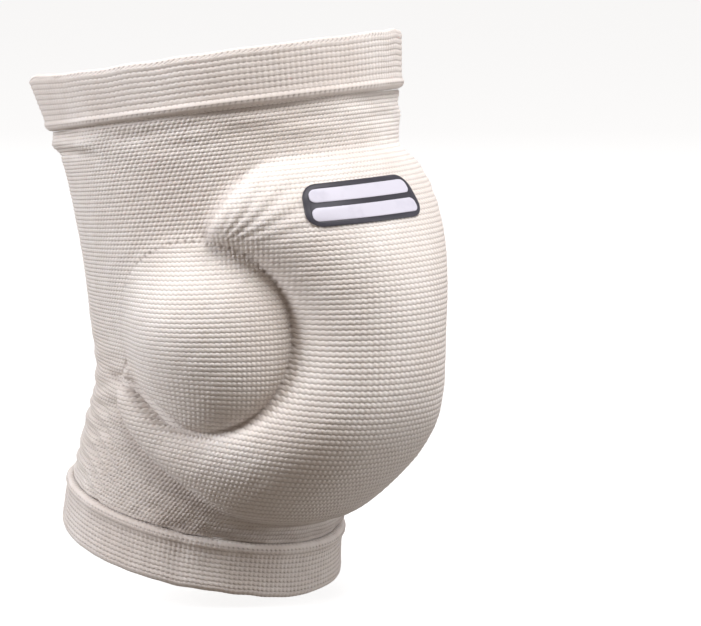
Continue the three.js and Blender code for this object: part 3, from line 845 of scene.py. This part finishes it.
# Node helpers
class Nodes:
    def __init__(self, name):
        self.material = bpy.data.materials.new(name)
        self.material.use_nodes = True
        self.tree = self.material.node_tree
        self.tree.nodes.clear()
        self.output = self.tree.nodes.new("ShaderNodeOutputMaterial")
        self.shader = self.tree.nodes.new("ShaderNodeBsdfPrincipled")
        self.tree.links.new(self.shader.outputs[0], self.output.inputs["Surface"])

    def put(self, socket, value):
        if isinstance(value, bpy.types.NodeSocket):
            self.tree.links.new(value, socket)
        elif value is not None:
            socket.default_value = value

    def set(self, **values):
        for key, value in values.items():
            self.put(self.shader.inputs[key.replace("_", " ")], value)

    def math(self, operation, a, b=None, c=None, clamp=False):
        node = self.tree.nodes.new("ShaderNodeMath")
        node.operation = operation
        node.use_clamp = clamp
        for socket, value in zip(node.inputs, (a, b, c)):
            self.put(socket, value)
        return node.outputs[0]

    def ramp(self, value, low, high, to_low=0.0, to_high=1.0):
        node = self.tree.nodes.new("ShaderNodeMapRange")
        node.interpolation_type = "SMOOTHSTEP"
        for socket, v in zip(node.inputs, (value, low, high, to_low, to_high)):
            self.put(socket, v)
        return node.outputs[0]

    def blend(self, factor, a, b):
        node = self.tree.nodes.new("ShaderNodeMix")
        node.data_type = "RGBA"
        self.put(node.inputs["Factor"], factor)
        self.put(node.inputs[6], a)
        self.put(node.inputs[7], b)
        return node.outputs[2]

    def noise(self, vector, scale, detail=2.0, roughness=0.5):
        node = self.tree.nodes.new("ShaderNodeTexNoise")
        self.put(node.inputs["Vector"], vector)
        self.put(node.inputs["Scale"], scale)
        self.put(node.inputs["Detail"], detail)
        self.put(node.inputs["Roughness"], roughness)
        return node.outputs["Fac"]

    def place(self):
        return self.tree.nodes.new("ShaderNodeTexCoord").outputs["Object"]

    def parts(self, vector):
        node = self.tree.nodes.new("ShaderNodeSeparateXYZ")
        self.put(node.inputs[0], vector)
        return node.outputs

    def attribute(self, name):
        node = self.tree.nodes.new("ShaderNodeAttribute")
        node.attribute_name = name
        return node.outputs["Fac"]

    def bump(self, height, distance, strength=1.0, normal=None):
        node = self.tree.nodes.new("ShaderNodeBump")
        self.put(node.inputs["Height"], height)
        self.put(node.inputs["Distance"], distance)
        self.put(node.inputs["Strength"], strength)
        self.put(node.inputs["Normal"], normal)
        return node.outputs[0]


def colour(r, g, b):
    def linear(v):
        v = v / 255
        return v / 12.92 if v <= 0.04045 else ((v + 0.055) / 1.055) ** 2.4

    return (linear(r), linear(g), linear(b), 1.0)


def saw(n, value):
    return n.math("ABSOLUTE", n.math("MULTIPLY_ADD", n.math("FRACT", value), 2.0, -1.0))


# Cloth of ribbed stitches: pale yarn, with painted shade in the valleys and the holes between the stitches,
# in the needle holes and in the creases
def cloth_material(name, light, shade, painted_shade_colour, gap_shade_strength, valley_shade_strength):
    n = Nodes(name)
    uv = n.tree.nodes.new("ShaderNodeUVMap")
    uv.uv_map = "stitches"
    wale, course, _ = n.parts(uv.outputs[0])
    on_pad = n.attribute("on_pad")
    place = n.place()
    row = n.math("FLOOR", course)
    odd = n.math("FRACT", n.math("MULTIPLY", row, 0.5))
    off = n.math("SUBTRACT", 1.0, on_pad)
    shift = n.math("MULTIPLY", odd, off)
    lean = n.math("MULTIPLY", n.math("MULTIPLY_ADD", n.math("FRACT", course), 0.45, -0.22), off)
    across = n.math("ADD", n.math("ADD", wale, shift), lean)
    wave_wale = saw(n, across)
    bent = n.math("MULTIPLY_ADD", n.math("MULTIPLY", wave_wale, on_pad), 0.2, course)
    wave_course = saw(n, bent)
    valley = n.ramp(wave_course, 0.5, 1.0)
    gap = n.math("MULTIPLY", n.ramp(wave_course, 0.3, 0.95), n.ramp(wave_wale, 0.3, 0.95))
    cell = n.tree.nodes.new("ShaderNodeCombineXYZ")
    n.put(cell.inputs[0], n.math("FLOOR", across))
    n.put(cell.inputs[1], n.math("FLOOR", bent))
    chance = n.tree.nodes.new("ShaderNodeTexWhiteNoise")
    n.put(chance.inputs["Vector"], cell.outputs[0])
    each = chance.outputs["Value"]
    gap = n.math("MULTIPLY", gap, n.math("MULTIPLY_ADD", each, 0.7, 0.5))
    strands = n.math("SINE", n.math("MULTIPLY_ADD", across, 25.0, n.math("MULTIPLY", bent, 18.0)))
    fibre = n.noise(place, 2600.0, 4.0, 0.65)
    cloudy = n.noise(place, 16.0, 3.0, 0.55)
    fine = n.noise(place, 160.0, 3.0, 0.6)
    tone = n.blend(n.ramp(cloudy, 0.36, 0.66), light, shade)
    tone = n.blend(n.math("MULTIPLY", n.ramp(fine, 0.4, 0.75), 0.3), tone, shade)
    tone = n.blend(n.math("MULTIPLY", each, 0.35), tone, shade)
    # Painted shade: the gaps between the stitches and the valleys between the rows are darkened towards the
    # shade colour
    gap_share = n.math("MULTIPLY_ADD", on_pad, -0.8 * gap_shade_strength, 1.35 * gap_shade_strength)
    valley_share = n.math("MULTIPLY_ADD", on_pad, 0.6 * valley_shade_strength, 0.4 * valley_shade_strength)
    dark = n.math("MULTIPLY", gap, gap_share, clamp=True)
    dark = n.math("MAXIMUM", dark, n.math("MULTIPLY", valley, valley_share))
    # Painted shade in the needle holes, from the pit attribute
    pit = n.attribute("pit")
    dark = n.math("MAXIMUM", dark, n.math("MULTIPLY", pit, 0.85))
    tone = n.blend(dark, tone, painted_shade_colour)
    # Painted shade in seams and creases and under the arms, the front pad and the top hem, from the fold
    # attribute
    tone = n.blend(n.math("MULTIPLY", n.attribute("fold"), 0.55), tone, painted_shade_colour)
    height = n.math("MULTIPLY_ADD", fibre, 0.5, n.math("MULTIPLY", strands, 0.12))
    height = n.math("SUBTRACT", height, n.math("MULTIPLY", gap, 0.8))
    height = n.math("SUBTRACT", height, n.math("MULTIPLY", valley, 0.5))
    n.set(
        Base_Color=tone,
        Roughness=0.92,
        Normal=n.bump(height, 0.00022, 0.8),
        Sheen_Weight=0.25,
        Sheen_Roughness=0.5,
        Sheen_Tint=(1.0, 0.97, 0.94, 1.0),
        Subsurface_Weight=0.06,
        Subsurface_Radius=(0.004, 0.003, 0.002),
        Subsurface_Scale=0.6,
    )
    return n.material


def rubber_material(name, base, worn):
    n = Nodes(name)
    place = n.place()
    grain = n.noise(place, 1800.0, 3.0, 0.6)
    scuff = n.noise(place, 90.0, 4.0, 0.6)
    n.set(
        Base_Color=n.blend(n.ramp(scuff, 0.45, 0.8), base, worn),
        Roughness=n.ramp(scuff, 0.2, 0.8, 0.42, 0.62),
        Normal=n.bump(grain, 0.00005, 0.6),
        Specular_IOR_Level=0.45,
    )
    return n.material


# The third colour of each cloth is its painted shade colour, for gaps, valleys, needle holes and creases
MATERIALS["knit"] = cloth_material(
    "knit_white", colour(240, 235, 230), colour(228, 220, 213), colour(136, 120, 112), 0.42, 0.34
)
MATERIALS["cuff"] = cloth_material(
    "knit_hem", colour(236, 230, 225), colour(220, 211, 204), colour(130, 116, 108), 0.5, 0.34
)
MATERIALS["padding"] = cloth_material(
    "pad_jersey", colour(236, 229, 218), colour(222, 213, 200), colour(170, 158, 146), 0.3, 0.16
)
MATERIALS["badge_dark"] = rubber_material("badge_dark", colour(38, 36, 46), colour(58, 55, 66))
MATERIALS["badge_pale"] = rubber_material("badge_pale", colour(206, 204, 216), colour(192, 190, 203))


def finish_piece(obj, node):
    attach(obj, "root")
    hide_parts(node)
    return obj


for sector in range(SECTORS):
    finish_piece(sleeve_sector(sector), "sleeve")
top_hem = hem("top_hem", ABOVE_BEND, ABOVE_BEND - TOP_CUFF_HEIGHT, 1, TOP_HEM_WALES, TOP_HEM_PITCH)
finish_piece(top_hem, "top_cuff")
bottom_edge = -BELOW_BEND + BOTTOM_CUFF_HEIGHT
bottom_hem = hem("bottom_hem", -BELOW_BEND, bottom_edge, -1, BOTTOM_HEM_WALES, BOTTOM_HEM_PITCH)
finish_piece(bottom_hem, "bottom_cuff")


def front_inside(around, up):
    return np.minimum(in_outline(around, up) - 0.6, -in_disc(around, up) - SEAM_HALF_GAP)


def side_inside(side):
    def inside(around, up):
        own = np.where(np.sign(around) == side, 1, -1)
        return np.minimum(in_disc(around, up) - SEAM_HALF_GAP, own * 50)

    return inside


reach = ARM_REACH + PAD_MARGIN
front_low = (-reach, -PAD_BOTTOM - PAD_MARGIN)
front = pad_piece("pad_front", front_low, (reach, PAD_TOP + PAD_MARGIN), front_inside)
finish_piece(front, "front_pad")
disc_reach = DISC_RADIUS + DISC_MARGIN
for side, word in ((1, "right"), (-1, "left")):
    low = (side * DISC_AROUND - disc_reach, DISC_UP - disc_reach)
    high = (side * DISC_AROUND + disc_reach, DISC_UP + disc_reach)
    pad = pad_piece(f"pad_side_{word}", low, high, side_inside(side))
    finish_piece(pad, f"side_pad_{word}")

# Rings of the badge: how far in from its outline, and how high over the cloth
base_rings = [(0.0, -0.9), (0.0, 0.55), (0.12, 0.8), (0.4, 0.95), (1.4, 0.95), (1.7, 0.86), (1.9, 0.6)]
base_rings += [(3.2, 0.6), (6.8, 0.6)]
panel_rings = [(0.0, 0.35), (0.0, 0.75), (0.1, 0.92), (0.35, 1.0), (0.8, 1.02), (1.5, 1.02)]
half_badge = (BADGE_WIDTH / 2, BADGE_HEIGHT / 2)
badge = badge_plate("badge_back", *half_badge, BADGE_CORNER, (0, 0), base_rings, MATERIALS["badge_dark"])
finish_piece(badge, "badge_base")
for row, word in ((1, "upper"), (-1, "lower")):
    panel = badge_plate(
        f"badge_{word}",
        BADGE_WIDTH / 2 - BADGE_BORDER,
        (BADGE_HEIGHT / 2 - BADGE_BORDER - BADGE_HALF_GAP) / 2,
        BADGE_PANEL_CORNER,
        (0, row * (BADGE_HALF_GAP + (BADGE_HEIGHT / 2 - BADGE_BORDER - BADGE_HALF_GAP) / 2)),
        panel_rings,
        MATERIALS["badge_pale"],
    )
    finish_piece(panel, f"badge_panel_{word}")

# Pale floor and backdrop
FLOOR_LEVEL = -0.086
FLOOR_REACH = 4.2
BEND_RADIUS = 1.2
BEND_STEPS = 12
WALL_TOP = 5.0
STUDIO_SIDES = 72


def round_studio():
    profile = [(1.0, 0.0), (FLOOR_REACH, 0.0)]
    for k in range(1, BEND_STEPS + 1):
        turn = math.pi / 2 * k / BEND_STEPS
        profile.append((FLOOR_REACH + BEND_RADIUS * math.sin(turn), BEND_RADIUS * (1 - math.cos(turn))))
    profile.append((FLOOR_REACH + BEND_RADIUS, WALL_TOP))
    sides = STUDIO_SIDES
    points = []
    for reach, rise in profile:
        for k in range(sides):
            turn = 2 * math.pi * k / sides
            points.append((reach * math.cos(turn), reach * math.sin(turn), FLOOR_LEVEL + rise))
    faces = [tuple(range(sides))]
    for i in range(len(profile) - 1):
        for k in range(sides):
            a, b = i * sides + k, i * sides + (k + 1) % sides
            faces.append((a, a + sides, b + sides, b))
    mesh = bpy.data.meshes.new("studio_sweep")
    mesh.from_pydata(points, [], faces)
    for polygon in mesh.polygons:
        polygon.use_smooth = True
    n = Nodes("studio_paper")
    n.set(
        Base_Color=(0.3, 0.3, 0.3, 1.0),
        Roughness=1.0,
        Specular_IOR_Level=0.0,
        Emission_Color=(1.0, 1.0, 1.0, 1.0),
        Emission_Strength=0.86,
    )
    mesh.materials.append(n.material)
    obj = bpy.data.objects.new("studio_sweep", mesh)
    obj.visible_diffuse = False
    bpy.context.scene.collection.objects.link(obj)


round_studio()

# Camera and lights, in the photograph's view
AZIMUTH, ELEVATION, DISTANCE = math.radians(-50), math.radians(7.7), 2600.0
PIXELS_PER_MM = 2.45
WIDTH, HEIGHT = 701, 626
AIM_HEIGHT = 30.0
AIM_PIXEL = (240, 312)
SENSOR = 36.0
to_camera = Vector(
    (math.sin(AZIMUTH) * math.cos(ELEVATION), -math.cos(AZIMUTH) * math.cos(ELEVATION), math.sin(ELEVATION))
)
right = Vector((math.cos(AZIMUTH), math.sin(AZIMUTH), 0))
upward = to_camera.cross(right)
off_x = (AIM_PIXEL[0] - WIDTH / 2) / PIXELS_PER_MM
off_y = -(AIM_PIXEL[1] - HEIGHT / 2) / PIXELS_PER_MM
place = (Vector((0, 0, AIM_HEIGHT)) + DISTANCE * to_camera - off_x * right - off_y * upward) * MM
camera_data = bpy.data.cameras.new("camera")
camera_data.sensor_width = SENSOR
camera_data.lens = PIXELS_PER_MM * DISTANCE / WIDTH * SENSOR
camera_data.clip_start, camera_data.clip_end = 0.05, 50
camera = bpy.data.objects.new("camera", camera_data)
camera.matrix_world = Matrix(
    (
        (right.x, upward.x, to_camera.x, place.x),
        (right.y, upward.y, to_camera.y, place.y),
        (right.z, upward.z, to_camera.z, place.z),
        (0, 0, 0, 1),
    )
)
bpy.context.scene.collection.objects.link(camera)
bpy.context.scene.camera = camera


def area_light(name, direction, distance, size, power, tint):
    light = bpy.data.lights.new(name, "AREA")
    light.shape = "DISK"
    light.size = size
    light.energy = power
    light.color = tint
    obj = bpy.data.objects.new(name, light)
    target = Vector((0, 0, AIM_HEIGHT * MM))
    away = direction.normalized()
    obj.location = target + away * distance
    obj.rotation_mode = "QUATERNION"
    obj.rotation_quaternion = away.to_track_quat("Z", "Y")
    bpy.context.scene.collection.objects.link(obj)


up_axis = Vector((0, 0, 1))
area_light("key", up_axis * 1.0 + right * 0.3 + to_camera * 0.5, 1.5, 0.8, 23, (0.99, 0.985, 1.0))
area_light("side_left", right * -1.0 + to_camera * 0.26 + up_axis * 0.42, 1.5, 0.6, 18, (0.94, 0.95, 1.0))
area_light("side_right", right * 1.0 + to_camera * 0.2 + up_axis * 0.2, 1.5, 0.6, 8, (0.95, 0.96, 1.0))
area_light("behind", to_camera * -1.0 + up_axis * 0.7, 1.5, 0.8, 7, (0.97, 0.97, 1.0))

world = bpy.data.worlds.new("studio")
world.use_nodes = True
world.node_tree.nodes["Background"].inputs["Color"].default_value = (1.0, 0.81, 0.67, 1.0)
world.node_tree.nodes["Background"].inputs["Strength"].default_value = 0.19
bpy.context.scene.world = world
bpy.context.scene.view_settings.view_transform = "Standard"
